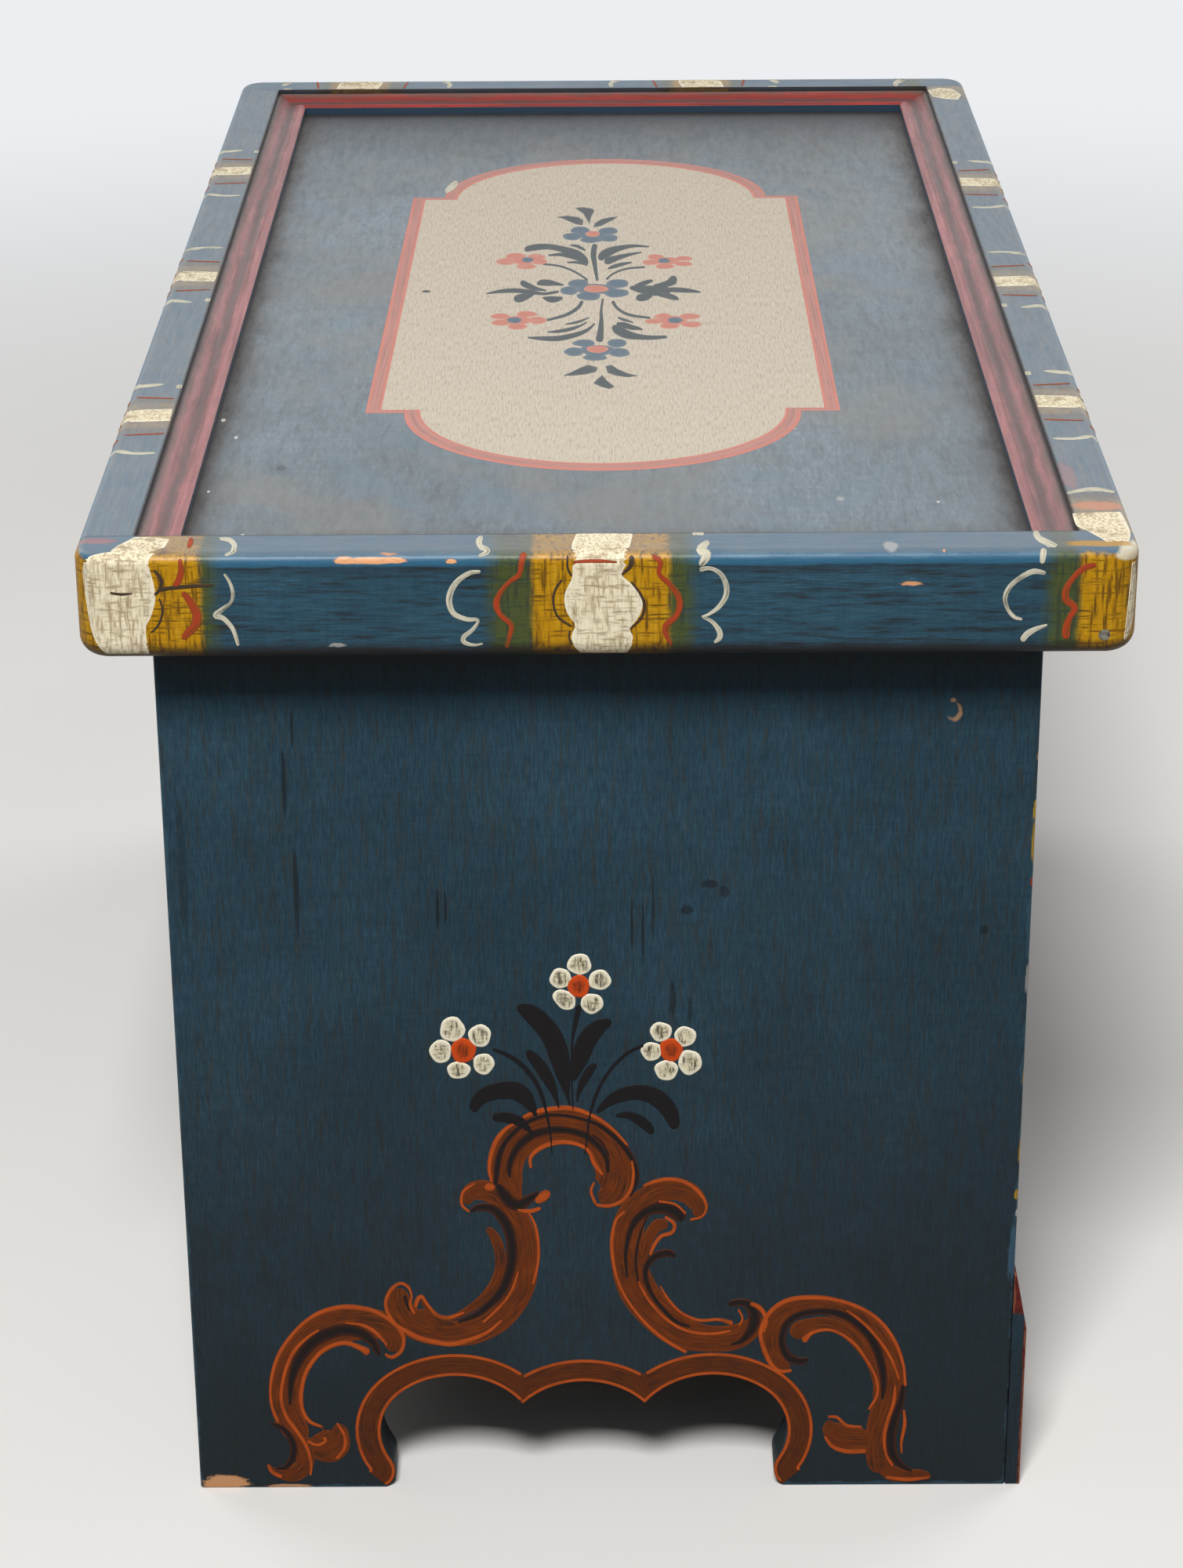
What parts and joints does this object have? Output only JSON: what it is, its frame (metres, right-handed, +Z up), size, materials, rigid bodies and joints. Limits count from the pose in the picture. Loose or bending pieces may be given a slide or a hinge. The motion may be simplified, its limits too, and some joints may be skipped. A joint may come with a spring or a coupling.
{
  "type": "blanket chest",
  "caption": "Painted wooden blanket chest on scalloped feet, with a hinged panelled lid whose edging caps the carcass.",
  "frame": {"origin": "on the floor under the middle of the lid, which is the middle of the part's box", "axes": "+X along the chest to its right end, +Y from its front to its back, +Z up"},
  "size_m": [0.88, 0.466, 0.506],
  "materials": {
    "carcass_blue": "brushed blue paint, dulled by a dark glaze",
    "back_blue": "thin blue paint over board grain",
    "plinth_red": "worn red-brown paint",
    "raw_pine": "bare pine, darkened with age",
    "lid_field": "grey-blue paint, rubbed and glazed",
    "edging_blue": "brushed blue paint, worn along the arrises",
    "moulding_red": "faded red paint with dark glaze in the hollow",
    "hinge_iron": "dull rolled steel",
    "pin_steel": "dull drawn wire",
    "fastener_steel": "darkened steel"
  },
  "bodies": {
    "carcass": {"left_end_panel": "carcass_blue", "right_end_panel": "carcass_blue", "front_panel": "carcass_blue", "back_panel": "back_blue", "front_plinth": "plinth_red", "bottom_board_front": "raw_pine", "bottom_board_middle": "raw_pine", "bottom_board_back": "raw_pine", "front_cleat": "raw_pine", "back_cleat": "raw_pine", "left_cleat": "raw_pine", "right_cleat": "raw_pine", "left_hinge_case_leaf": "hinge_iron", "right_hinge_case_leaf": "hinge_iron", "left_hinge_pin": "pin_steel", "right_hinge_pin": "pin_steel", "case_leaf_screws": "fastener_steel", "front_nails": "fastener_steel", "back_nails": "fastener_steel", "plinth_nails": "fastener_steel", "bottom_nails": "fastener_steel"},
    "lid": {"lid_board": "lid_field", "lid_left_edging": "edging_blue", "lid_right_edging": "edging_blue", "lid_front_edging": "edging_blue", "lid_back_edging": "edging_blue", "lid_front_moulding": "moulding_red", "lid_back_moulding": "moulding_red", "lid_left_moulding": "moulding_red", "lid_right_moulding": "moulding_red", "left_hinge_lid_leaf": "hinge_iron", "right_hinge_lid_leaf": "hinge_iron", "lid_leaf_screws": "fastener_steel", "lid_corner_nails": "fastener_steel"}
  },
  "joints": [
    {"name": "lid_hinge", "type": "hinge", "parent": "carcass", "child": "lid", "pos_m": [0, 0.2084, 0.47], "axis": [-1, 0, 0], "range_deg": [0, 105]}
  ]
}
